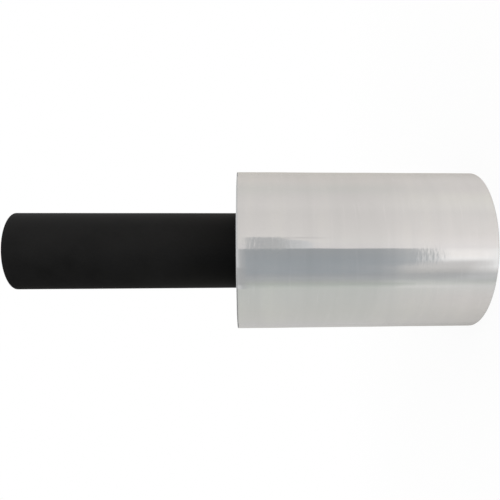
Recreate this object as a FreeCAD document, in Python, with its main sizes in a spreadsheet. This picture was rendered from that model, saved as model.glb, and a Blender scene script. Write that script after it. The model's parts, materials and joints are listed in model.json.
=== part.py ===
import FreeCAD, Part
import math
import os
import Sketcher

# A hand roll of stretch wrap: clear film wound on a black plastic tube that is much longer
# than the film is wide. The bare length of the tube is the handle, and the whole roll turns in
# the hand as the film is pulled off.
#
# Frame: the roll stands on the film's flat end, with the handle up. +Z runs along the tube's
# axis, and the origin is the centre of that end, on the surface that the roll stands on.
# All sizes are in millimetres.

OUTPUT_FOLDER = "parts"

SIZES = {
    # The tube is an extruded pipe for a one inch spindle, sawn square and deburred.
    "tube_bore": 25.4,
    "tube_wall": 3.3,
    "tube_deburr": 0.35,
    "handle_length": 92.0,
    # The film is wound tight on the tube, flush with its lower end.
    "film_width": 100.0,
    "roll_diameter": 66.4,
    "roll_edge_bevel": 0.6,
    # The end faces show the turns: groups of them have wandered a little way in.
    "turn_groups": 6,
    "turn_wander": 0.45,
    # The free end of the film stops at a step along the roll.
    "free_end_step": 0.15,
    "free_end_angle": 112.0,
    "free_end_sweep": 54.0,
}

# How far each sunken group of turns has wandered, as a share of turn_wander, and how wide it
# is. Both follow a sine of its number, so that no two neighbours are alike, and the two ends of
# the roll differ by their phase.
WANDER_STEP = 2.4
LOW_END_PHASE = 0.6
HIGH_END_PHASE = 2.9
LEAST_WANDER = 0.35
WIDTH_SWING = 0.3

# How far a cutting sketch runs past the face that it cuts.
OVERRUN = 1.0

# The radii that several features share, as expressions of the sheet's sizes.
BORE_RADIUS = "sizes.tube_bore / 2"
TUBE_RADIUS = "(sizes.tube_bore / 2 + sizes.tube_wall)"
ROLL_RADIUS = "sizes.roll_diameter / 2"

ORIGIN = -1
POINT_START = 1
POINT_END = 2
POINT_CENTRE = 3


def make_sheet(doc):
    """The driving dimensions, one row each: the name, then its value with that name as alias."""
    sheet = doc.addObject("Spreadsheet::Sheet", "sizes")
    for row, (name, value) in enumerate(SIZES.items(), start=1):
        sheet.set(f"A{row}", name)
        sheet.set(f"B{row}", str(value))
        sheet.setAlias(f"B{row}", name)
    doc.recompute()
    return sheet


def make_body(doc, label):
    body = doc.addObject("PartDesign::Body", label)
    body.Label = label
    return body


def make_sketch(body, name, role):
    """An empty sketch on one of the body's own origin planes, such as XY_Plane."""
    plane = next(feature for feature in body.Origin.OriginFeatures if feature.Role == role)
    sketch = body.newObject("Sketcher::SketchObject", name)
    sketch.AttachmentSupport = (plane, [""])
    sketch.MapMode = "FlatFace"
    return sketch


def size_point(sketch, edge, point, axis, value, size):
    """Holds one coordinate of a point at an expression of the sheet's sizes."""
    index = sketch.addConstraint(Sketcher.Constraint(axis, ORIGIN, 1, edge, point, value))
    sketch.setExpression(f"Constraints[{index}]", size)


def add_rectangle(sketch, left, right, low, high):
    """A closed rectangle with upright sides. Each side is a pair: its place now, and the
    expression that holds it there."""
    corners = [
        FreeCAD.Vector(left[0], low[0], 0),
        FreeCAD.Vector(right[0], low[0], 0),
        FreeCAD.Vector(right[0], high[0], 0),
        FreeCAD.Vector(left[0], high[0], 0),
    ]
    edges = [
        sketch.addGeometry(Part.LineSegment(corner, corners[(number + 1) % 4]), False)
        for number, corner in enumerate(corners)
    ]
    for number, edge in enumerate(edges):
        following = edges[(number + 1) % 4]
        sketch.addConstraint(
            Sketcher.Constraint("Coincident", edge, POINT_END, following, POINT_START)
        )
    for edge, direction in zip(edges, ("Horizontal", "Vertical", "Horizontal", "Vertical")):
        sketch.addConstraint(Sketcher.Constraint(direction, edge))
    size_point(sketch, edges[0], POINT_START, "DistanceX", *left)
    size_point(sketch, edges[0], POINT_START, "DistanceY", *low)
    size_point(sketch, edges[2], POINT_START, "DistanceX", *right)
    size_point(sketch, edges[2], POINT_START, "DistanceY", *high)


def round_edges(feature, radius):
    """The names of a feature's full circles of that radius."""
    return [
        f"Edge{number}"
        for number, edge in enumerate(feature.Shape.Edges, start=1)
        if edge.Curve.TypeId == "Part::GeomCircle"
        and edge.isClosed()
        and abs(edge.Curve.Radius - radius) < 1e-6
    ]


def add_circle(sketch, radius, size):
    """A circle round the sketch's origin: its radius now, and the expression that holds it."""
    centre = FreeCAD.Vector(0, 0, 0)
    circle = sketch.addGeometry(Part.Circle(centre, FreeCAD.Vector(0, 0, 1), radius), False)
    sketch.addConstraint(Sketcher.Constraint("Coincident", circle, POINT_CENTRE, ORIGIN, 1))
    index = sketch.addConstraint(Sketcher.Constraint("Radius", circle, radius))
    sketch.setExpression(f"Constraints[{index}]", size)


def tube_radius(sheet):
    return sheet.tube_bore / 2 + sheet.tube_wall


def make_tube(doc, sheet):
    """The black tube: a plain pipe the length of the film and the handle, deburred at both
    ends inside and out."""
    body = make_body(doc, "core_tube")
    section = make_sketch(body, "tube_section", "XY_Plane")
    add_circle(section, tube_radius(sheet), TUBE_RADIUS)
    add_circle(section, sheet.tube_bore / 2, BORE_RADIUS)

    pipe = body.newObject("PartDesign::Pad", "tube_pipe")
    pipe.Profile = section
    pipe.setExpression("Length", "sizes.film_width + sizes.handle_length")
    doc.recompute()

    deburr = body.newObject("PartDesign::Chamfer", "tube_deburr")
    rims = round_edges(pipe, tube_radius(sheet)) + round_edges(pipe, sheet.tube_bore / 2)
    deburr.Base = (pipe, rims)
    deburr.setExpression("Size", "sizes.tube_deburr")
    doc.recompute()
    return body


def wander_share(number, phase):
    """How far a sunken group of turns lies in, from LEAST_WANDER to 1."""
    swing = 0.5 + 0.5 * math.sin(WANDER_STEP * number + phase)
    return LEAST_WANDER + (1 - LEAST_WANDER) * swing


def sink_turns(doc, sheet, body, name, high_end, phase):
    """Sinks every second group of turns into one end face, as rings cut round the tube."""
    section = make_sketch(body, f"{name}_section", "XZ_Plane")
    groups = int(sheet.turn_groups)
    core = tube_radius(sheet)
    build = sheet.roll_diameter / 2 - sheet.roll_edge_bevel - core
    build_size = f"({ROLL_RADIUS} - sizes.roll_edge_bevel - {TUBE_RADIUS})"
    for group in range(groups):
        sides = []
        for border in (2 * group + 1, 2 * group + 2):
            swing = WIDTH_SWING * math.sin(WANDER_STEP * border + phase)
            share = round((border + swing) / (2 * groups + 1), 4)
            sides.append((core + build * share, f"{TUBE_RADIUS} + {build_size} * {share}"))
        share = round(wander_share(group, phase), 4)
        depth = sheet.turn_wander * share
        depth_size = f"sizes.turn_wander * {share}"
        if high_end:
            low = (sheet.film_width - depth, f"sizes.film_width - {depth_size}")
            high = (sheet.film_width + OVERRUN, f"sizes.film_width + {OVERRUN}")
        else:
            low = (-OVERRUN, f"-{OVERRUN}")
            high = (depth, depth_size)
        add_rectangle(section, sides[0], sides[1], low, high)

    rings = body.newObject("PartDesign::Groove", name)
    rings.Profile = section
    rings.ReferenceAxis = (section, ["V_Axis"])
    rings.Angle = 360.0
    doc.recompute()
    return rings


def cut_free_end(doc, sheet, body):
    """Takes the last turn away past the film's free end. The cut is a thin sliver: deepest at
    the step, and running out to nothing where the turn below becomes the outer one."""
    section = make_sketch(body, "free_end_section", "XY_Plane")
    radius = sheet.roll_diameter / 2
    step_angle = math.radians(sheet.free_end_angle)
    sweep = math.radians(sheet.free_end_sweep)
    run_out_angle = step_angle + sweep
    offset = sheet.free_end_step / (1 - math.cos(sweep))

    def at(distance, angle):
        return FreeCAD.Vector(distance * math.cos(angle), distance * math.sin(angle), 0)

    centre = at(offset, run_out_angle)
    inner_radius = radius - offset
    step_foot = at(radius - sheet.free_end_step, step_angle)
    step_top = at(radius + OVERRUN, step_angle)
    run_out = at(radius, run_out_angle)
    run_out_top = at(radius + OVERRUN, run_out_angle)
    step_seen = math.atan2(step_foot.y - centre.y, step_foot.x - centre.x)

    axis = FreeCAD.Vector(0, 0, 1)
    nowhere = FreeCAD.Vector(0, 0, 0)
    step = section.addGeometry(Part.LineSegment(step_foot, step_top), False)
    outer = section.addGeometry(
        Part.ArcOfCircle(Part.Circle(nowhere, axis, radius + OVERRUN), step_angle, run_out_angle),
        False,
    )
    side = section.addGeometry(Part.LineSegment(run_out_top, run_out), False)
    inner = section.addGeometry(
        Part.ArcOfCircle(Part.Circle(centre, axis, inner_radius), step_seen, run_out_angle), False
    )
    joins = [
        (step, POINT_END, outer, POINT_START),
        (outer, POINT_END, side, POINT_START),
        (side, POINT_END, inner, POINT_END),
        (inner, POINT_START, step, POINT_START),
        (outer, POINT_CENTRE, ORIGIN, 1),
    ]
    for join in joins:
        section.addConstraint(Sketcher.Constraint("Coincident", *join))
    for line in (step, side):
        section.addConstraint(Sketcher.Constraint("PointOnObject", ORIGIN, 1, line))
    section.addConstraint(Sketcher.Constraint("PointOnObject", inner, POINT_CENTRE, side))

    sized = [
        (("Angle", step, step_angle), "sizes.free_end_angle * 1 deg"),
        (("Angle", outer, sweep), "sizes.free_end_sweep * 1 deg"),
        (("Radius", outer, radius + OVERRUN), f"{ROLL_RADIUS} + {OVERRUN}"),
        (("Distance", ORIGIN, 1, side, POINT_END, radius), ROLL_RADIUS),
        (
            ("Distance", ORIGIN, 1, step, POINT_START, radius - sheet.free_end_step),
            f"{ROLL_RADIUS} - sizes.free_end_step",
        ),
    ]
    for constraint, size in sized:
        index = section.addConstraint(Sketcher.Constraint(*constraint))
        section.setExpression(f"Constraints[{index}]", size)

    sliver = body.newObject("PartDesign::Pocket", "free_end")
    sliver.Profile = section
    sliver.Reversed = True
    sliver.setExpression("Length", "sizes.film_width")
    doc.recompute()
    return sliver


def make_film(doc, sheet):
    """The wound film: one solid from the tube's wall out, with broken edges, turns that show on
    both end faces and the step at its free end."""
    body = make_body(doc, "stretch_film")
    section = make_sketch(body, "roll_section", "XZ_Plane")
    radius = sheet.roll_diameter / 2
    add_rectangle(
        section,
        (tube_radius(sheet), TUBE_RADIUS),
        (radius, ROLL_RADIUS),
        (0, "0"),
        (sheet.film_width, "sizes.film_width"),
    )
    roll = body.newObject("PartDesign::Revolution", "roll_turns")
    roll.Profile = section
    roll.ReferenceAxis = (section, ["V_Axis"])
    roll.Angle = 360.0
    doc.recompute()

    edges = body.newObject("PartDesign::Chamfer", "roll_edges")
    edges.Base = (roll, round_edges(roll, radius))
    edges.setExpression("Size", "sizes.roll_edge_bevel")
    doc.recompute()

    sink_turns(doc, sheet, body, "low_end_turns", False, LOW_END_PHASE)
    sink_turns(doc, sheet, body, "high_end_turns", True, HIGH_END_PHASE)
    cut_free_end(doc, sheet, body)
    return body


def check(doc, bodies):
    """Stops the build if a feature failed, or if a cut took nothing away."""
    for item in doc.Objects:
        if "Invalid" in item.State or "Error" in item.State:
            raise RuntimeError(f"{item.Label} failed: {item.State}")
    for body in bodies:
        if body.Shape.isNull() or not body.Shape.isValid() or len(body.Shape.Solids) != 1:
            raise RuntimeError(f"{body.Label} isn't one valid solid")
        steps = [item for item in body.Group if item.isDerivedFrom("PartDesign::Feature")]
        for before, after in zip(steps, steps[1:]):
            if after.Shape.Volume >= before.Shape.Volume:
                raise RuntimeError(f"{after.Label} took nothing away")


def main():
    doc = FreeCAD.newDocument("stretch_wrap_roll")
    sheet = make_sheet(doc)
    bodies = [make_tube(doc, sheet), make_film(doc, sheet)]
    for body in bodies:
        body.Placement = FreeCAD.Placement()
    doc.recompute()
    check(doc, bodies)
    os.makedirs(OUTPUT_FOLDER, exist_ok=True)
    for body in bodies:
        body.Shape.exportStep(os.path.join(OUTPUT_FOLDER, f"{body.Label}.step"))
        box = body.Shape.BoundBox
        print(
            body.Label,
            f"{body.Shape.Volume / 1000:.2f} cm3",
            f"{box.XLength:.2f} x {box.YLength:.2f} x {box.ZLength:.2f} mm",
            f"{len(body.Shape.Faces)} faces",
        )


main()
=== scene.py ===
import json
import math
import random

import bpy
from mathutils import Matrix, Vector, noise


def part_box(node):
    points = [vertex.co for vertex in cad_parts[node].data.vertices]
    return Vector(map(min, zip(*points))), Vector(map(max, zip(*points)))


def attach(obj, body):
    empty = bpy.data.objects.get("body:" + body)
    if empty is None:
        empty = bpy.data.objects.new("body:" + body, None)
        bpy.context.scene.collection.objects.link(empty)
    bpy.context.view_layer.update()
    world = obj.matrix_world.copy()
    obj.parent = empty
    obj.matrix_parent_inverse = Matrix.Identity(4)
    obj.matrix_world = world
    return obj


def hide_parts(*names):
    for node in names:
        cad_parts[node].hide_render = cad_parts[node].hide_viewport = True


# A hand roll of stretch wrap that stands on the film's end: clear film wound on a black tube,
# whose bare length is the handle. Metres, +Z up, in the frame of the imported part.

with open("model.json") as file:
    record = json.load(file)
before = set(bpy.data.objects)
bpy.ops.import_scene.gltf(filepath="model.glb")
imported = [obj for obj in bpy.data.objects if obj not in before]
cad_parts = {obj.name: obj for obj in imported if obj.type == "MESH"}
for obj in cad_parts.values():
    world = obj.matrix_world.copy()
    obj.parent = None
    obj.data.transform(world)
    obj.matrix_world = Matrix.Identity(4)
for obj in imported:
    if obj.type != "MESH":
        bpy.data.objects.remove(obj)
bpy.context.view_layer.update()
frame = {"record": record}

MM = 0.001


# Sizes from the frame

_, tube_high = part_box("core_tube")
_, film_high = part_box("stretch_film")
TUBE_RADIUS = tube_high.x
TUBE_LENGTH = tube_high.z
FILM_RADIUS = film_high.x
FILM_WIDTH = film_high.z
BORE_RADIUS = next(
    mount["dims"]["r_mm"] * MM for mount in frame["record"]["mounts"] if mount["name"] == "core_bore"
)

# The sizes that the two solids share with these pieces.
TUBE_DEBURR = 0.35 * MM
ROLL_EDGE = 0.6 * MM
TURN_GROUPS = 6
TURN_WANDER = 0.45 * MM
FREE_END_STEP = 0.15 * MM
FREE_END_TURN = math.radians(112)
FREE_END_SWEEP = math.radians(54)


# Small helpers

def linear(hex_colour):
    """An sRGB hex colour as the linear colour that a shader takes."""
    channels = [int(hex_colour[start:start + 2], 16) / 255 for start in (1, 3, 5)]
    bright = [c / 12.92 if c <= 0.04045 else ((c + 0.055) / 1.055) ** 2.4 for c in channels]
    return (*bright, 1.0)


def add_node(tree, kind, inputs=None, **settings):
    """Adds one node with its settings. Each input is a value, or the output that it is linked to."""
    made = tree.nodes.new(kind)
    for name, value in settings.items():
        setattr(made, name, value)
    for name, value in (inputs or {}).items():
        if isinstance(value, bpy.types.NodeSocket):
            tree.links.new(value, made.inputs[name])
        else:
            made.inputs[name].default_value = value
    return made


def set_ramp(ramp, stops):
    """Gives a colour ramp its stops: each a place from 0 to 1 and a hex colour."""
    while len(ramp.elements) > 1:
        ramp.elements.remove(ramp.elements[-1])
    for number, (place, colour) in enumerate(stops):
        element = ramp.elements[0] if number == 0 else ramp.elements.new(place)
        element.position = place
        element.color = linear(colour)


def new_material(name):
    material = bpy.data.materials.new(name)
    material.use_nodes = True
    material.node_tree.nodes.clear()
    return material, material.node_tree


def soft_step(low, high, value):
    share = min(1.0, max(0.0, (value - low) / (high - low)))
    return share * share * (3 - 2 * share)


def mesh_piece(name, points, faces, materials, face_materials=None):
    """A smooth shaded mesh. face_materials gives each face the number of its material."""
    mesh = bpy.data.meshes.new(name)
    mesh.from_pydata(points, [], faces)
    for material in materials:
        mesh.materials.append(material)
    if face_materials:
        mesh.polygons.foreach_set("material_index", face_materials)
    mesh.polygons.foreach_set("use_smooth", [True] * len(faces))
    mesh.update()
    piece = bpy.data.objects.new(name, mesh)
    bpy.context.scene.collection.objects.link(piece)
    return piece


def turned_piece(name, section, turns, place, materials, material_at):
    """A closed section turned round the Z axis. The section is a list of (radius, height)
    points, place moves each one to its own (radius, turn, height), and material_at gives the
    number of the material between this point and the next, at this turn."""
    points = []
    for radius, height in section:
        for turn in turns:
            r, a, z = place(radius, turn, height)
            points.append((r * math.cos(a), r * math.sin(a), z))
    columns = len(turns)
    rows = len(section)
    faces = []
    face_materials = []
    for row in range(rows):
        for column in range(columns):
            beside = (column + 1) % columns
            here = row * columns
            above = (row + 1) % rows * columns
            faces.append((here + column, here + beside, above + beside, above + column))
            face_materials.append(material_at(row, column))
    return mesh_piece(name, points, faces, materials, face_materials)


# Camera

# The photograph's camera, found by fitting the roll's outline at its real size: how far it is
# from the roll's axis, how far it passes to that axis's side, the height that it aims at, and
# how it leans. The roll lies level in the picture, so the camera is on its side.
PICTURE_SIZE_PX = 500
FOCAL_LENGTH_PX = 549.8
CENTRE_PX = (283.5, 266.5)
CAMERA_DISTANCE = 237.2 * MM
CAMERA_SIDE = 6.96 * MM
AIM_HEIGHT = 80.35 * MM
LEAN_DOWN = math.radians(3.454)
LEAN_SIDE = math.radians(-0.29)
SENSOR_MM = 36.0
NEAREST_SEEN = 10 * MM


def make_camera():
    data = bpy.data.cameras.new("photo_camera")
    data.sensor_width = SENSOR_MM
    data.lens = SENSOR_MM * FOCAL_LENGTH_PX / PICTURE_SIZE_PX
    data.shift_x = 0.5 - CENTRE_PX[0] / PICTURE_SIZE_PX
    data.shift_y = CENTRE_PX[1] / PICTURE_SIZE_PX - 0.5
    data.clip_start = NEAREST_SEEN
    forward = Vector((0, math.cos(LEAN_DOWN), -math.sin(LEAN_DOWN)))
    level_right = Vector((0, -math.sin(LEAN_DOWN), -math.cos(LEAN_DOWN)))
    level_up = Vector((1, 0, 0))
    right = math.cos(LEAN_SIDE) * level_right + math.sin(LEAN_SIDE) * level_up
    up = math.cos(LEAN_SIDE) * level_up - math.sin(LEAN_SIDE) * level_right
    turn = Matrix((right, up, -forward)).transposed().to_4x4()
    camera = bpy.data.objects.new("photo_camera", data)
    place = Vector((0, 0, AIM_HEIGHT)) - CAMERA_SIDE * up - CAMERA_DISTANCE * forward
    camera.matrix_world = Matrix.Translation(place) @ turn
    bpy.context.scene.collection.objects.link(camera)
    bpy.context.scene.camera = camera


# Stage: a white floor, white air, soft lamps, and what the glossy film has to reflect

FLOOR_SIZE = 1.6
FLOOR_WHITE_NEAR = 0.9
FLOOR_WHITE_FAR = 1.0
FLOOR_FADE = 0.4
AIR_LIGHT = 0.85
AIR_WHITE = 1.0
LAMP_PLACE = (0.6, -0.7, 0.5)
LAMP_SIZE = 0.6
LAMP_POWER = 1.6
LAMP_COLOUR = "#FFF8F0"
WALL_RADIUS = 1.2
WALL_HEIGHT = 2.4
WALL_SIDES = 64
WALL_STRENGTH = 1.5
# The heights between which one shade of the wall gives way to the next.
WALL_MIDDLE_FADE = (-0.46, -0.18)
WALL_TOP_FADE = (0.15, 0.24)
# The cards stand across the view, in millimetres from the roll's axis. The grey one is behind.
CARD_PLANE = -237
GREY_CARD_PLANE = -237.5
FRONT_CARD_STRENGTH = 1.8
SMALL_CARD_STRENGTH = 1.0
RIM_CARD_HEIGHTS = (101.8, 140)
BACK_CARD_HEIGHTS = (152, 250)
BACK_CARD_SIDES = ((855, 769), (160, 1139))
# Where the front card changes from dark to pale, and how that height moves across the card:
# from where, to where, and by how much.
CHANGE_HEIGHT = -36 * MM
CHANGE_RISES = (
    (-5 * MM, -35 * MM, -7 * MM),
    (-50 * MM, -110 * MM, 19 * MM),
    (-165 * MM, -200 * MM, -8 * MM),
    (-235 * MM, -265 * MM, -28 * MM),
)


def show_only(thing, *rays):
    """The thing is seen by these kinds of ray alone."""
    for kind in ("camera", "diffuse", "glossy", "transmission", "volume_scatter", "shadow"):
        setattr(thing, f"visible_{kind}", kind in rays)


def make_floor():
    """The white floor. Most of its white is its own, and all of it far away, so that only a
    soft shadow shows near the roll."""
    material, tree = new_material("white_studio_floor")
    paint = add_node(tree, "ShaderNodeBsdfDiffuse", {"Color": linear("#FFFFFF")})
    glow = add_node(tree, "ShaderNodeEmission", {"Color": linear("#FFFFFF"), "Strength": AIR_WHITE})
    ray = add_node(tree, "ShaderNodeLightPath")
    seen = add_node(
        tree,
        "ShaderNodeMath",
        {0: ray.outputs["Is Camera Ray"], 1: ray.outputs["Is Glossy Ray"]},
        operation="MAXIMUM",
    )
    place = add_node(tree, "ShaderNodeTexCoord")
    away = add_node(tree, "ShaderNodeVectorMath", {0: place.outputs["Object"]}, operation="LENGTH")
    own_white = add_node(
        tree,
        "ShaderNodeMapRange",
        {
            "Value": away.outputs["Value"],
            "From Min": FILM_RADIUS,
            "From Max": FLOOR_FADE,
            "To Min": FLOOR_WHITE_NEAR,
            "To Max": FLOOR_WHITE_FAR,
        },
        interpolation_type="SMOOTHSTEP",
    )
    share = add_node(
        tree,
        "ShaderNodeMath",
        {0: seen.outputs[0], 1: own_white.outputs["Result"]},
        operation="MULTIPLY",
    )
    mix = add_node(
        tree,
        "ShaderNodeMixShader",
        {"Fac": share.outputs[0], 1: paint.outputs[0], 2: glow.outputs[0]},
    )
    add_node(tree, "ShaderNodeOutputMaterial", {"Surface": mix.outputs[0]})
    half = FLOOR_SIZE / 2
    corners = [(-half, -half, 0), (half, -half, 0), (half, half, 0), (-half, half, 0)]
    floor = mesh_piece("studio_floor", corners, [(0, 1, 2, 3)], [material])
    show_only(floor, "camera", "diffuse", "transmission", "shadow")


def make_air():
    """White to look at, and an even light a little under white on the object."""
    world = bpy.data.worlds.new("studio_air")
    world.use_nodes = True
    tree = world.node_tree
    tree.nodes.clear()
    ray = add_node(tree, "ShaderNodeLightPath")
    seen = add_node(
        tree,
        "ShaderNodeMath",
        {0: ray.outputs["Is Camera Ray"], 1: ray.outputs["Is Glossy Ray"]},
        operation="MAXIMUM",
    )
    seen = add_node(
        tree,
        "ShaderNodeMath",
        {0: seen.outputs[0], 1: ray.outputs["Is Transmission Ray"]},
        operation="MAXIMUM",
    )
    light = add_node(
        tree, "ShaderNodeBackground", {"Color": linear("#FFFFFF"), "Strength": AIR_LIGHT}
    )
    white = add_node(
        tree, "ShaderNodeBackground", {"Color": linear("#FFFFFF"), "Strength": AIR_WHITE}
    )
    mix = add_node(
        tree,
        "ShaderNodeMixShader",
        {"Fac": seen.outputs[0], 1: light.outputs[0], 2: white.outputs[0]},
    )
    add_node(tree, "ShaderNodeOutputWorld", {"Surface": mix.outputs[0]})
    bpy.context.scene.world = world


def make_lamp(name, place, size, power, colour):
    """A square lamp that faces the middle of the film, and shows in no reflection."""
    data = bpy.data.lights.new(name, "AREA")
    data.size = size
    data.energy = power
    data.color = linear(colour)[:3]
    lamp = bpy.data.objects.new(name, data)
    lamp.location = place
    middle = Vector((0, 0, FILM_WIDTH / 2))
    lamp.rotation_mode = "QUATERNION"
    lamp.rotation_quaternion = (middle - Vector(place)).to_track_quat("-Z", "Y")
    bpy.context.scene.collection.objects.link(lamp)
    lamp.visible_glossy = False


def place_ramp(tree, value, stops):
    """A colour that changes with a value in metres. The stops are in millimetres."""
    start = stops[0][0]
    end = stops[-1][0]
    share = add_node(
        tree,
        "ShaderNodeMapRange",
        {"Value": value, "From Min": start * MM, "From Max": end * MM},
    )
    shade = add_node(tree, "ShaderNodeValToRGB", {"Fac": share.outputs["Result"]})
    set_ramp(shade.color_ramp, [((at - start) / (end - start), colour) for at, colour in stops])
    return shade.outputs["Color"]


def make_wall():
    """A round wall far from the roll, seen in its reflections alone. Its shade changes round
    the roll, and it is brighter low down, where a white floor would be near."""
    material, tree = new_material("studio_wall")
    place = add_node(tree, "ShaderNodeTexCoord")
    parts = add_node(tree, "ShaderNodeSeparateXYZ", {0: place.outputs["Object"]})
    front = add_node(tree, "ShaderNodeMath", {0: parts.outputs["Y"], 1: -1.0}, operation="MULTIPLY")
    turn = add_node(
        tree, "ShaderNodeMath", {0: parts.outputs["X"], 1: front.outputs[0]}, operation="ARCTAN2"
    )
    round_share = add_node(
        tree,
        "ShaderNodeMapRange",
        {"Value": turn.outputs[0], "From Min": -math.pi, "From Max": math.pi},
    )
    # The turn in degrees from the camera's side, and the wall's colour there.
    low_stops = [
        (-180, "#999590"),
        (-153, "#999692"),
        (-131, "#B7B2AC"),
        (-106, "#C7C1B9"),
        (-88, "#D2CBC4"),
        (-72, "#D5CEC8"),
        (-55, "#D8D6D0"),
        (2, "#FAF3EF"),
        (10, "#F7EFEA"),
        (21, "#ECE4DE"),
        (51, "#E0D9D3"),
        (64, "#E5DFD7"),
        (79, "#E1DBD1"),
        (95, "#D6CEC8"),
        (117, "#D0C9C3"),
        (151, "#ABA6A0"),
        (180, "#999590"),
    ]
    middle_stops = [
        (-180, "#9C9B98"),
        (-142, "#B6B3B0"),
        (-125, "#BDBBB4"),
        (-100, "#BDBCB3"),
        (-70, "#BABBB3"),
        (-55, "#B6B9B0"),
        (2, "#DAD3D0"),
        (10, "#DDD7D1"),
        (21, "#D8D1CB"),
        (33, "#D3CCC6"),
        (51, "#CEC7C1"),
        (64, "#D2CBC5"),
        (78, "#CCC5BF"),
        (94, "#C2BEB6"),
        (115, "#C7BFB7"),
        (151, "#AFAAA2"),
        (180, "#9C9B98"),
    ]
    top_stops = [
        (-180, "#7F7F7F"),
        (-150, "#6B6B6B"),
        (-140, "#494949"),
        (-40, "#494949"),
        (-15, "#A3A3A3"),
        (0, "#BCBCBC"),
        (60, "#C1C1C1"),
        (100, "#BABABA"),
        (118, "#B1B1B1"),
        (130, "#AAAAAA"),
        (150, "#999999"),
        (180, "#7F7F7F"),
    ]
    shades = []
    for stops in (low_stops, middle_stops, top_stops):
        shade = add_node(tree, "ShaderNodeValToRGB", {"Fac": round_share.outputs["Result"]})
        set_ramp(shade.color_ramp, [((turned + 180) / 360, colour) for turned, colour in stops])
        shades.append(shade.outputs["Color"])
    # The top shade changes with height too, where the bare tube reflects it.
    dimmer = place_ramp(
        tree,
        parts.outputs["Z"],
        [
            (130, "#B3B3B3"),
            (230, "#CBCBCB"),
            (330, "#F9F9F9"),
            (450, "#FFFFFF"),
            (600, "#EDEDED"),
            (700, "#E7E7E7"),
        ],
    )
    top_shade = add_node(
        tree,
        "ShaderNodeMix",
        {"Factor": 1.0, 6: shades[2], 7: dimmer},
        data_type="RGBA",
        blend_type="MULTIPLY",
    )
    shade = shades[0]
    fades = ((shades[1], WALL_MIDDLE_FADE), (top_shade.outputs[2], WALL_TOP_FADE))
    for above, (start, end) in fades:
        share = add_node(
            tree,
            "ShaderNodeMapRange",
            {"Value": parts.outputs["Z"], "From Min": start, "From Max": end},
        )
        mixed = add_node(
            tree,
            "ShaderNodeMix",
            {"Factor": share.outputs["Result"], 6: shade, 7: above},
            data_type="RGBA",
        )
        shade = mixed.outputs[2]
    glow = add_node(tree, "ShaderNodeEmission", {"Color": shade, "Strength": WALL_STRENGTH})
    add_node(tree, "ShaderNodeOutputMaterial", {"Surface": glow.outputs[0]})
    points = []
    for side in range(WALL_SIDES):
        around = 2 * math.pi * side / WALL_SIDES
        for height in (-WALL_HEIGHT / 2, WALL_HEIGHT / 2):
            points.append((WALL_RADIUS * math.sin(around), WALL_RADIUS * math.cos(around), height))
    last = len(points)
    faces = [
        (low, low + 1, (low + 3) % last, (low + 2) % last) for low in range(0, last, 2)
    ]
    wall = mesh_piece("studio_wall", points, faces, [material])
    show_only(wall, "glossy")


def upright(outline, plane=CARD_PLANE):
    """The corners of a card that stands across the view, from pairs of a place along X and a
    height."""
    return [(across, plane, height) for across, height in outline]


def card_piece(name, corners, material):
    """A card near the roll, seen in its reflections alone. Its corners are in millimetres."""
    points = [Vector(corner) * MM for corner in corners]
    card = mesh_piece(name, points, [tuple(range(len(points)))], [material])
    show_only(card, "glossy")


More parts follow.
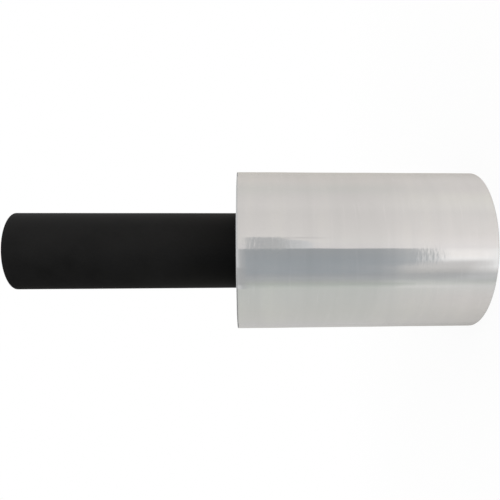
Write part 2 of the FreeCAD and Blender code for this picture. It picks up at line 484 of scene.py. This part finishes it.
def make_front_card():
    """A broad card in front of the roll, which its gloss shows as a band. The card is dark
    beside the upper part of the film and pale lower down, with a soft change between them. A
    strip at its lowest is pale too, which the film's lower rim shows."""
    material, tree = new_material("front_card")
    place = add_node(tree, "ShaderNodeTexCoord")
    parts = add_node(tree, "ShaderNodeSeparateXYZ", {0: place.outputs["Object"]})
    high_shade = place_ramp(
        tree,
        parts.outputs["X"],
        [
            (-345, "#A9ACA3"),
            (-322, "#A5AAA0"),
            (-290, "#969C92"),
            (-260, "#868D82"),
            (-233, "#828680"),
            (-210, "#787D7D"),
            (-190, "#787D7F"),
            (-171, "#666C70"),
            (-138, "#59666E"),
            (-110, "#59646C"),
            (-84, "#54626A"),
            (-50, "#4C5962"),
            (1, "#525B60"),
        ],
    )
    low_shade = place_ramp(
        tree,
        parts.outputs["X"],
        [
            (-345, "#C7C5C0"),
            (-308, "#C7C5C0"),
            (-275, "#B9BAB3"),
            (-246, "#ACADA7"),
            (-221, "#9C9F9B"),
            (-199, "#8D8E8D"),
            (-161, "#858685"),
            (-145, "#979592"),
            (-129, "#A4A19D"),
            (-115, "#B2AEAA"),
            (-101, "#B8B4B0"),
            (-90, "#B8B4B1"),
            (-76, "#C0BCB9"),
            (-66, "#DEDBD8"),
            (-54, "#FAF6F3"),
            (-41, "#FBF5F0"),
            (-19, "#F7F1EC"),
            (1, "#EBE5E1"),
        ],
    )
    # The height of the change from dark to pale wanders across the card.
    change = add_node(
        tree,
        "ShaderNodeMath",
        {0: parts.outputs["Z"], 1: CHANGE_HEIGHT},
        operation="SUBTRACT",
    )
    for start, end, rise in CHANGE_RISES:
        step = add_node(
            tree,
            "ShaderNodeMapRange",
            {"Value": parts.outputs["X"], "From Min": start, "From Max": end, "To Max": rise},
            interpolation_type="SMOOTHSTEP",
        )
        change = add_node(
            tree,
            "ShaderNodeMath",
            {0: change.outputs[0], 1: step.outputs["Result"]},
            operation="SUBTRACT",
        )
    pale = place_ramp(
        tree,
        change.outputs[0],
        [
            (-24, "#FFFFFF"),
            (-17, "#FDFDFD"),
            (-14, "#F6F6F6"),
            (-10.5, "#E2E2E2"),
            (-6, "#D3D3D3"),
            (-1.7, "#BCBCBC"),
            (1.3, "#ACACAC"),
            (5.5, "#979797"),
            (9, "#818181"),
            (13, "#797979"),
            (19, "#6E6E6E"),
            (25, "#616161"),
            (35, "#454545"),
            (53, "#272727"),
            (70, "#000000"),
        ],
    )
    shade = add_node(
        tree, "ShaderNodeMix", {"Factor": pale, 6: high_shade, 7: low_shade}, data_type="RGBA"
    )
    strip_height = place_ramp(
        tree,
        parts.outputs["Z"],
        [(-120, "#FFFFFF"), (-102, "#E0E0E0"), (-92, "#AAAAAA"), (-80, "#000000")],
    )
    strip_length = place_ramp(
        tree,
        parts.outputs["X"],
        [
            (-235, "#000000"),
            (-190, "#8B8B8B"),
            (-160, "#8E8E8E"),
            (-138, "#B4B4B4"),
            (-105, "#FFFFFF"),
            (-60, "#FFFFFF"),
        ],
    )
    strip = add_node(
        tree, "ShaderNodeMath", {0: strip_height, 1: strip_length}, operation="MULTIPLY"
    )
    shade = add_node(
        tree,
        "ShaderNodeMix",
        {"Factor": strip.outputs[0], 6: shade.outputs[2], 7: linear("#F6F4F2")},
        data_type="RGBA",
    )
    glow = add_node(
        tree, "ShaderNodeEmission", {"Color": shade.outputs[2], "Strength": FRONT_CARD_STRENGTH}
    )
    add_node(tree, "ShaderNodeOutputMaterial", {"Surface": glow.outputs[0]})
    # Its edge beside the roll is a little uneven, so that the band's edge is too.
    outline = [
        (-345, -200),
        (1.5, -200),
        (1.5, -52),
        (-0.3, -40),
        (2.0, -12),
        (1.2, 25),
        (3.2, 48),
        (1.2, 80),
        (1.2, 101.8),
        (-345, 101.8),
    ]
    card_piece("front_card", upright(outline), material)


def make_small_card(name, corners, stops):
    """A card of even glow, whose shade changes with height."""
    material, tree = new_material(name)
    place = add_node(tree, "ShaderNodeTexCoord")
    parts = add_node(tree, "ShaderNodeSeparateXYZ", {0: place.outputs["Object"]})
    shade = place_ramp(tree, parts.outputs["Z"], stops)
    glow = add_node(
        tree, "ShaderNodeEmission", {"Color": shade, "Strength": SMALL_CARD_STRENGTH}
    )
    add_node(tree, "ShaderNodeOutputMaterial", {"Surface": glow.outputs[0]})
    card_piece(name, corners, material)


def make_cards():
    """The glossy film shows these as bands and patches, and its upper rim the rim cards."""
    make_front_card()
    grey_outline = [
        (0, 47),
        (13, 47),
        (23, 46),
        (34, 47),
        (45, 54),
        (57, 67),
        (65, 74),
        (65, 100),
        (0, 100),
    ]
    make_small_card(
        "grey_card",
        upright(grey_outline, GREY_CARD_PLANE),
        [
            (46, "#FBFBFB"),
            (52, "#F4F4F4"),
            (55, "#EAEAEA"),
            (58, "#D9D9D9"),
            (61, "#CDCDCD"),
            (66, "#C9C9C9"),
            (69, "#B6B6B6"),
            (72, "#AAAAAA"),
            (76, "#B5B5B5"),
            (80, "#B5B5B5"),
            (84, "#ADADAD"),
            (90, "#B1B1B1"),
            (95, "#B1B1B1"),
            (100.5, "#BCBCBC"),
        ],
    )
    make_small_card(
        "thin_card",
        upright([(58, 34), (64, 34), (64, 72), (58, 72)]),
        [(34, "#F4EDE7"), (50, "#E2D9D4"), (72, "#D8D4D0")],
    )
    low, high = BACK_CARD_HEIGHTS
    (outer_x, outer_y), (inner_x, inner_y) = BACK_CARD_SIDES
    for side, name in ((-1, "left"), (1, "right")):
        corners = [
            (side * outer_x, outer_y, low),
            (side * inner_x, inner_y, low),
            (side * inner_x, inner_y, high),
            (side * outer_x, outer_y, high),
        ]
        make_small_card(f"{name}_back_card", corners, [(low, "#505050"), (high, "#606060")])
    pale_rim = [
        (101.8, "#BCBCBC"),
        (103.4, "#BCBCBC"),
        (105.2, "#7C7C7C"),
        (107.2, "#BCBCBC"),
        (109, "#EDEDED"),
        (140, "#EDEDED"),
    ]
    grey_rim = [
        (101.8, "#A0A0A0"),
        (104, "#9C9C9C"),
        (107, "#959595"),
        (110, "#ADADAD"),
        (114, "#B9B9B9"),
        (140, "#B9B9B9"),
    ]
    low, high = RIM_CARD_HEIGHTS
    for name, start, end, stops in (
        ("upper_rim_card", -105, 1, pale_rim),
        ("middle_rim_card", -275, -105, grey_rim),
        ("lower_rim_card", -345, -275, pale_rim),
    ):
        outline = [(start, low), (end, low), (end, high), (start, high)]
        make_small_card(name, upright(outline), stops)


# Materials

POLYETHYLENE_IOR = 1.5


def stretched_noise(tree, place, cell, detail, roughness):
    """Noise whose cells have this size along X, Y and Z."""
    stretched = add_node(
        tree,
        "ShaderNodeMapping",
        {"Vector": place.outputs["Object"], "Scale": [1 / size for size in cell]},
    )
    return add_node(
        tree,
        "ShaderNodeTexNoise",
        {
            "Vector": stretched.outputs[0],
            "Scale": 1.0,
            "Detail": detail,
            "Roughness": roughness,
        },
    )


def wound_film_material():
    """Clear polyethylene film, blown and wound tight in many turns. Every turn gives back a
    little light, so that together they shine like dull silver over a milky grey. The film is
    drawn lengthwise, so it is sharp round the roll and streaky along it."""
    material, tree = new_material("wound_polyethylene_film")
    place = add_node(tree, "ShaderNodeTexCoord")

    # Bands of thicker and thinner film run round the roll, a few millimetres wide, and blur
    # over a few centimetres of its length.
    bands = stretched_noise(tree, place, (45 * MM, 45 * MM, 5.5 * MM), 2.0, 0.45)
    tint = add_node(tree, "ShaderNodeValToRGB", {"Fac": bands.outputs["Fac"]})
    set_ramp(tint.color_ramp, [(0.25, "#C8C9CA"), (0.5, "#CBCCCD"), (0.75, "#CECFCF")])

    # Air is caught here and there under the last turns, in short smears that look whiter.
    smears = stretched_noise(tree, place, (12 * MM, 12 * MM, 1.2 * MM), 2.0, 0.5)
    caught_air = add_node(
        tree,
        "ShaderNodeMapRange",
        {"Value": smears.outputs["Fac"], "From Min": 0.58, "From Max": 0.8},
        interpolation_type="SMOOTHSTEP",
    )
    colour = add_node(
        tree,
        "ShaderNodeMix",
        {"Factor": caught_air.outputs["Result"], 6: tint.outputs["Color"], 7: linear("#CECFD0")},
        data_type="RGBA",
    )
    clear_roughness = 0.065
    smeared_roughness = 0.1
    roughness = add_node(
        tree,
        "ShaderNodeMapRange",
        {
            "Value": caught_air.outputs["Result"],
            "To Min": clear_roughness,
            "To Max": smeared_roughness,
        },
    )

    # Draw lines: about three times as far apart as the film's own, to show. They stand up most
    # in two zones, where the film was stretched unevenly as it was wound.
    lines = stretched_noise(tree, place, (30 * MM, 30 * MM, 0.45 * MM), 3.0, 0.6)
    parts = add_node(tree, "ShaderNodeSeparateXYZ", {0: place.outputs["Object"]})
    across = add_node(
        tree,
        "ShaderNodeMapRange",
        {"Value": parts.outputs["Z"], "From Min": 0.0, "From Max": FILM_WIDTH},
    )
    uneven = add_node(tree, "ShaderNodeValToRGB", {"Fac": across.outputs["Result"]})
    set_ramp(
        uneven.color_ramp,
        [
            (0.17, "#343434"),
            (0.23, "#C4C4C4"),
            (0.30, "#C4C4C4"),
            (0.36, "#343434"),
            (0.76, "#343434"),
            (0.82, "#CDCDCD"),
            (0.91, "#CDCDCD"),
            (0.96, "#282828"),
        ],
    )
    ridges = add_node(
        tree,
        "ShaderNodeMath",
        {0: lines.outputs["Fac"], 1: uneven.outputs["Color"]},
        operation="MULTIPLY",
    )
    ridge_height = 0.02 * MM
    ridge_bump = add_node(
        tree,
        "ShaderNodeBump",
        {"Height": ridges.outputs[0], "Strength": 1.0, "Distance": ridge_height},
    )

    # Short wrinkles stand in the same zones, and break up the edges of what the film reflects.
    wrinkle_height = 0.045 * MM
    creases = stretched_noise(tree, place, (2.5 * MM, 2.5 * MM, 0.8 * MM), 1.0, 0.5)
    wrinkles = add_node(
        tree,
        "ShaderNodeMath",
        {0: creases.outputs["Fac"], 1: uneven.outputs["Color"]},
        operation="MULTIPLY",
    )
    bump = add_node(
        tree,
        "ShaderNodeBump",
        {
            "Height": wrinkles.outputs[0],
            "Strength": 1.0,
            "Distance": wrinkle_height,
            "Normal": ridge_bump.outputs["Normal"],
        },
    )
    # The share of the light that the turns give back as silver does, how much more the draw
    # lines blur it along the roll than round it, and a quarter turn that points them so.
    silver_share = 0.55
    streakiness = 0.6
    streak_turn = 0.25
    direction = add_node(tree, "ShaderNodeTangent", direction_type="RADIAL", axis="Z")
    shader = add_node(
        tree,
        "ShaderNodeBsdfPrincipled",
        {
            "Base Color": colour.outputs[2],
            "Metallic": silver_share,
            "Roughness": roughness.outputs["Result"],
            "IOR": POLYETHYLENE_IOR,
            "Anisotropic": streakiness,
            "Anisotropic Rotation": streak_turn,
            "Normal": bump.outputs["Normal"],
            "Tangent": direction.outputs["Tangent"],
        },
    )
    add_node(tree, "ShaderNodeOutputMaterial", {"Surface": shader.outputs[0]})
    return material


def ply_edges_material():
    """The slit edges of the turns, packed side by side: rings of milky grey, darker near the
    tube, where its black shines through, with a soft sheen."""
    material, tree = new_material("slit_polyethylene_edges")
    place = add_node(tree, "ShaderNodeTexCoord")
    flat = add_node(
        tree,
        "ShaderNodeVectorMath",
        {0: place.outputs["Object"], 1: (1.0, 1.0, 0.0)},
        operation="MULTIPLY",
    )
    radius = add_node(tree, "ShaderNodeVectorMath", {0: flat.outputs[0]}, operation="LENGTH")
    # One turn is far too thin to show, so the rings are drawn this wide.
    ring_width = 0.35 * MM
    rings = add_node(
        tree,
        "ShaderNodeTexNoise",
        {"W": radius.outputs["Value"], "Scale": 1 / ring_width, "Detail": 3.0, "Roughness": 0.7},
        noise_dimensions="1D",
    )
    ring_tint = add_node(tree, "ShaderNodeValToRGB", {"Fac": rings.outputs["Fac"]})
    set_ramp(ring_tint.color_ramp, [(0.3, "#B4B7B8"), (0.5, "#CDCFCF"), (0.7, "#E2E4E4")])
    dark_reach = 9 * MM
    dark_share = 0.72
    near_tube = add_node(
        tree,
        "ShaderNodeMapRange",
        {
            "Value": radius.outputs["Value"],
            "From Min": TUBE_RADIUS,
            "From Max": TUBE_RADIUS + dark_reach,
            "To Min": dark_share,
            "To Max": 1.0,
        },
    )
    shade = add_node(
        tree,
        "ShaderNodeMix",
        {"Factor": 1.0, 6: ring_tint.outputs["Color"], 7: near_tube.outputs["Result"]},
        data_type="RGBA",
        blend_type="MULTIPLY",
    )
    ring_height = 0.05 * MM
    bump = add_node(
        tree,
        "ShaderNodeBump",
        {"Height": rings.outputs["Fac"], "Strength": 1.0, "Distance": ring_height},
    )
    shader = add_node(
        tree,
        "ShaderNodeBsdfPrincipled",
        {
            "Base Color": shade.outputs[2],
            "Metallic": 0.25,
            "Roughness": 0.38,
            "IOR": POLYETHYLENE_IOR,
            "Normal": bump.outputs["Normal"],
        },
    )
    add_node(tree, "ShaderNodeOutputMaterial", {"Surface": shader.outputs[0]})
    return material


def black_tube_material():
    """Extruded black polyethylene: matt, with faint die lines along it and a tone that differs at
    random along the bare handle. Its colour is painted darkest beside the film, as painted shade from
    the film."""
    material, tree = new_material("extruded_black_polyethylene")
    place = add_node(tree, "ShaderNodeTexCoord")
    parts = add_node(tree, "ShaderNodeSeparateXYZ", {0: place.outputs["Object"]})
    # Painted shade: the colour is darkest where the tube meets the film and lifts over this length.
    painted_shade_reach = 35 * MM
    painted_shade_fade = add_node(
        tree,
        "ShaderNodeMapRange",
        {
            "Value": parts.outputs["Z"],
            "From Min": FILM_WIDTH,
            "From Max": FILM_WIDTH + painted_shade_reach,
        },
        interpolation_type="SMOOTHSTEP",
    )
    scuff_size = 14 * MM
    scuffs = add_node(
        tree,
        "ShaderNodeTexNoise",
        {
            "Vector": place.outputs["Object"],
            "Scale": 1 / scuff_size,
            "Detail": 5.0,
            "Roughness": 0.65,
        },
    )
    shade_and_scuffs = add_node(
        tree,
        "ShaderNodeMath",
        {0: painted_shade_fade.outputs["Result"], 1: scuffs.outputs["Fac"]},
        operation="MULTIPLY",
    )
    # From the painted shade beside the film to the randomly toned black of the bare handle.
    colour = add_node(tree, "ShaderNodeValToRGB", {"Fac": shade_and_scuffs.outputs[0]})
    set_ramp(colour.color_ramp, [(0.0, "#030303"), (0.45, "#111111"), (0.75, "#151515")])
    rough = add_node(
        tree,
        "ShaderNodeMapRange",
        {"Value": scuffs.outputs["Fac"], "To Min": 0.5, "To Max": 0.62},
    )
    die_width = 0.5 * MM
    die_length = 60 * MM
    die_height = 0.012 * MM
    die_lines = stretched_noise(tree, place, (die_width, die_width, die_length), 2.0, 0.5)
    bump = add_node(
        tree,
        "ShaderNodeBump",
        {"Height": die_lines.outputs["Fac"], "Strength": 1.0, "Distance": die_height},
    )
    shader = add_node(
        tree,
        "ShaderNodeBsdfPrincipled",
        {
            "Base Color": colour.outputs["Color"],
            "Roughness": rough.outputs["Result"],
            "IOR": POLYETHYLENE_IOR,
            "Specular IOR Level": 0.15,
            "Normal": bump.outputs["Normal"],
        },
    )
    add_node(tree, "ShaderNodeOutputMaterial", {"Surface": shader.outputs[0]})
    return material


def sawn_tube_material():
    """The sawn end of the same tube: a rougher, greyer black with the blade's marks across."""
    material, tree = new_material("sawn_black_polyethylene")
    place = add_node(tree, "ShaderNodeTexCoord")
    mark_width = 0.4 * MM
    mark_length = 12 * MM
    mark_height = 0.04 * MM
    marks = stretched_noise(tree, place, (mark_width, mark_length, mark_length), 2.0, 0.6)
    colour = add_node(tree, "ShaderNodeValToRGB", {"Fac": marks.outputs["Fac"]})
    set_ramp(colour.color_ramp, [(0.3, "#161616"), (0.7, "#2A2A2A")])
    bump = add_node(
        tree,
        "ShaderNodeBump",
        {"Height": marks.outputs["Fac"], "Strength": 1.0, "Distance": mark_height},
    )
    shader = add_node(
        tree,
        "ShaderNodeBsdfPrincipled",
        {
            "Base Color": colour.outputs["Color"],
            "Roughness": 0.7,
            "IOR": POLYETHYLENE_IOR,
            "Specular IOR Level": 0.3,
            "Normal": bump.outputs["Normal"],
        },
    )
    add_node(tree, "ShaderNodeOutputMaterial", {"Surface": shader.outputs[0]})
    return material


# The tube

TUBE_COLUMNS = 160
TUBE_ROWS = 96
DEBURR_STEPS = 4
DRAWN_SWING = 0.02 * MM
DRAWN_LENGTH = 28 * MM
OUTER_SKIN = 0
CUT_FACE = 1


def tube_section():
    """The wall's closed section, with rounded rims, and the number of its points up to the
    start of each rim."""
    section = []
    rims = [
        (BORE_RADIUS + TUBE_DEBURR, TUBE_DEBURR, 180),
        (TUBE_RADIUS - TUBE_DEBURR, TUBE_DEBURR, 270),
        (TUBE_RADIUS - TUBE_DEBURR, TUBE_LENGTH - TUBE_DEBURR, 0),
        (BORE_RADIUS + TUBE_DEBURR, TUBE_LENGTH - TUBE_DEBURR, 90),
    ]
    rim_starts = []
    for number, (radius, height, start) in enumerate(rims):
        rim_starts.append(len(section))
        for step in range(DEBURR_STEPS + 1):
            turn = math.radians(start + 90 * step / DEBURR_STEPS)
            section.append(
                (radius + TUBE_DEBURR * math.cos(turn), height + TUBE_DEBURR * math.sin(turn))
            )
        if number == 1:
            clear = TUBE_LENGTH - 2 * TUBE_DEBURR
            for row in range(1, TUBE_ROWS):
                section.append((TUBE_RADIUS, TUBE_DEBURR + clear * row / TUBE_ROWS))
    return section, rim_starts


def tube_place(radius, turn, height):
    """A drawn tube is a little uneven: it swells and narrows by hundredths of a millimetre."""
    around = Vector((math.cos(turn), math.sin(turn), height / DRAWN_LENGTH))
    uneven = DRAWN_SWING * (noise.noise(around) - 0.5)
    return (radius + min(0.0, uneven), turn, height)


def make_tube():
    section, rim_starts = tube_section()
    turns = [2 * math.pi * column / TUBE_COLUMNS for column in range(TUBE_COLUMNS)]
    low_face = range(DEBURR_STEPS, rim_starts[1])
    high_face = range(rim_starts[2] + DEBURR_STEPS, rim_starts[3])

    def material_at(row, column):
        return CUT_FACE if row in low_face or row in high_face else OUTER_SKIN

    tube = turned_piece(
        "black_tube",
        section,
        turns,
        tube_place,
        [black_tube_material(), sawn_tube_material()],
        material_at,
    )
    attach(tube, "root")
    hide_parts("core_tube")


# The film

FILM_COLUMNS = 144
FILM_ROWS = 300
EDGE_STEPS = 4
RING_STEP = 0.3 * MM
# The two ends and the groups of turns differ, so each goes with a phase of its own.
LOW_END_PHASE = 0.6
HIGH_END_PHASE = 2.9
WANDER_STEP = 2.4
LEAST_WANDER = 0.35
WIDTH_SWING = 0.3
GROUP_SLOPE = 0.1
AROUND_SWING = 0.18
AROUND_STEP = 1.7
SINGLE_TURN_DEPTH = 0.07 * MM
SINGLE_TURN_WIDTH = RING_STEP / 0.9
SINGLE_TURN_DRIFT = 0.15
CORE_GAP = 0.02 * MM
RIM_WIDTH = 2.4 * MM
RIM_DROP = 0.025 * MM
EDGE_ROUND = 0.3 * MM
GAUGE_SLIDE = 0.25
FREE_EDGE_REACH = math.radians(9)
FREE_EDGE_HALF = math.radians(0.16)
FREE_EDGE_CLEAR = math.radians(1.0)
SHARP_EDGE = math.radians(40)
# How far the cut edge strays, over what height, and where its noise is read.
TEAR = (math.radians(1.3), 16 * MM, 4.2)
FRAY = (math.radians(0.25), 3.5 * MM, 9.1)


def turn_group_depth(radius, turn, phase):
    """How far the turns at this radius lie in from the film's end. They lie in groups, as they
    wandered while the roll was wound: every second group is sunk, each by its own depth."""
    share = (radius - TUBE_RADIUS) / (FILM_RADIUS - ROLL_EDGE - TUBE_RADIUS)
    place = share * (2 * TURN_GROUPS + 1)
    depth = 0.0
    for group in range(TURN_GROUPS):
        inside = 2 * group + 1
        outside = 2 * group + 2
        inside += WIDTH_SWING * math.sin(WANDER_STEP * inside + phase)
        outside += WIDTH_SWING * math.sin(WANDER_STEP * outside + phase)
        sunk = soft_step(inside - GROUP_SLOPE, inside + GROUP_SLOPE, place)
        sunk -= soft_step(outside - GROUP_SLOPE, outside + GROUP_SLOPE, place)
        swing = 0.5 + 0.5 * math.sin(WANDER_STEP * group + phase)
        wander = LEAST_WANDER + (1 - LEAST_WANDER) * swing
        around = 1 + AROUND_SWING * math.sin(turn + AROUND_STEP * group + phase)
        depth += TURN_WANDER * wander * sunk * around
    drift = SINGLE_TURN_DRIFT * math.sin(turn + phase)
    single = noise.noise(Vector((radius / SINGLE_TURN_WIDTH, phase, drift)))
    return depth + SINGLE_TURN_DEPTH * abs(single)


def make_gauge_bands():
    """The film is a little thicker in some places across its width, and its many turns add
    that up. Each band is a wave: its length along the roll, its depth and its phase."""
    draw = random.Random(17)
    longest = 38 * MM
    deepest = 0.03 * MM
    shorter = 0.57
    shallower = 0.52
    bands = 6
    return [
        (longest * shorter**step, deepest * shallower**step, draw.uniform(0, 2 * math.pi))
        for step in range(bands)
    ]


GAUGE_BANDS = make_gauge_bands()


def wound_face_depth(turn, height):
    """How far the wound face lies in from the roll's full radius."""
    depth = 0.0
    for length, most, phase in GAUGE_BANDS:
        slide = GAUGE_SLIDE * math.sin(turn + phase)
        depth += most * (0.5 + 0.5 * math.sin(2 * math.pi * height / length + phase + slide))
    for from_end in (height, FILM_WIDTH - height):
        rim = max(0.0, 1 - from_end / RIM_WIDTH)
        depth += RIM_DROP * rim * rim
    past_end = (turn - FREE_END_TURN) / FREE_END_SWEEP
    if 0 < past_end < 1:
        depth += FREE_END_STEP * (1 - past_end)
    return depth


def free_edge_wave(height):
    """How far the cut edge of the film strays round the roll at this height."""
    return sum(
        most * noise.noise(Vector((height / length, 0, place))) for most, length, place in (TEAR, FRAY)
    )


def film_turns():
    """The turn of each column of points, with two close together at the film's free end."""
    even = [2 * math.pi * column / FILM_COLUMNS for column in range(FILM_COLUMNS)]
    clear = [turn for turn in even if abs(turn - FREE_END_TURN) > FREE_EDGE_CLEAR]
    return sorted(clear + [FREE_END_TURN - FREE_EDGE_HALF, FREE_END_TURN + FREE_EDGE_HALF])


def film_section():
    """The closed section of the wound film, from the tube outward at the low end. Each point
    goes with the name of the surface that it starts."""
    inner = TUBE_RADIUS + CORE_GAP
    outer = FILM_RADIUS - EDGE_ROUND
    rings = round((outer - inner) / RING_STEP)
    section = [("low_end", inner + (outer - inner) * ring / rings, 0.0) for ring in range(rings)]
    for step in range(EDGE_STEPS):
        turn = math.radians(270 + 90 * step / EDGE_STEPS)
        section.append(
            ("edge", outer + EDGE_ROUND * math.cos(turn), EDGE_ROUND * (1 + math.sin(turn)))
        )
    clear = FILM_WIDTH - 2 * EDGE_ROUND
    for row in range(FILM_ROWS):
        section.append(("wound", FILM_RADIUS, EDGE_ROUND + clear * row / FILM_ROWS))
    for step in range(EDGE_STEPS):
        turn = math.radians(90 * step / EDGE_STEPS)
        section.append(
            (
                "edge",
                outer + EDGE_ROUND * math.cos(turn),
                FILM_WIDTH - EDGE_ROUND + EDGE_ROUND * math.sin(turn),
            )
        )
    for ring in range(rings + 1):
        section.append(("high_end", outer - (outer - inner) * ring / rings, FILM_WIDTH))
    return section


def film_place(radius, turn, height):
    """Moves a point of the plain roll to where the real film lies."""
    near_edge = 1 - soft_step(0.0, FREE_EDGE_REACH, abs(turn - FREE_END_TURN))
    moved_turn = turn + near_edge * free_edge_wave(height)
    outer = FILM_RADIUS - EDGE_ROUND
    moved_radius = radius
    moved_height = height
    if radius > outer:
        share = (radius - outer) / EDGE_ROUND
        moved_radius -= share * wound_face_depth(turn, height)
    elif height == 0.0:
        moved_height = turn_group_depth(radius, turn, LOW_END_PHASE)
    elif height == FILM_WIDTH:
        moved_height = height - turn_group_depth(radius, turn, HIGH_END_PHASE)
    return (moved_radius, moved_turn, moved_height)


def make_film():
    named_section = film_section()
    turns = film_turns()
    step_column = max(column for column, turn in enumerate(turns) if turn < FREE_END_TURN)

    def material_at(row, column):
        on_face = named_section[row][0] in ("wound", "edge")
        return OUTER_SKIN if on_face and column != step_column else CUT_FACE

    film = turned_piece(
        "wound_film",
        [(radius, height) for _, radius, height in named_section],
        turns,
        film_place,
        [wound_film_material(), ply_edges_material()],
        material_at,
    )
    film.data.set_sharp_from_angle(angle=SHARP_EDGE)
    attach(film, "root")
    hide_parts("stretch_film")


make_camera()
make_air()
make_floor()
make_wall()
make_cards()
make_lamp("high_lamp", LAMP_PLACE, LAMP_SIZE, LAMP_POWER, LAMP_COLOUR)
make_tube()
make_film()

bpy.context.scene.view_settings.view_transform = "Standard"
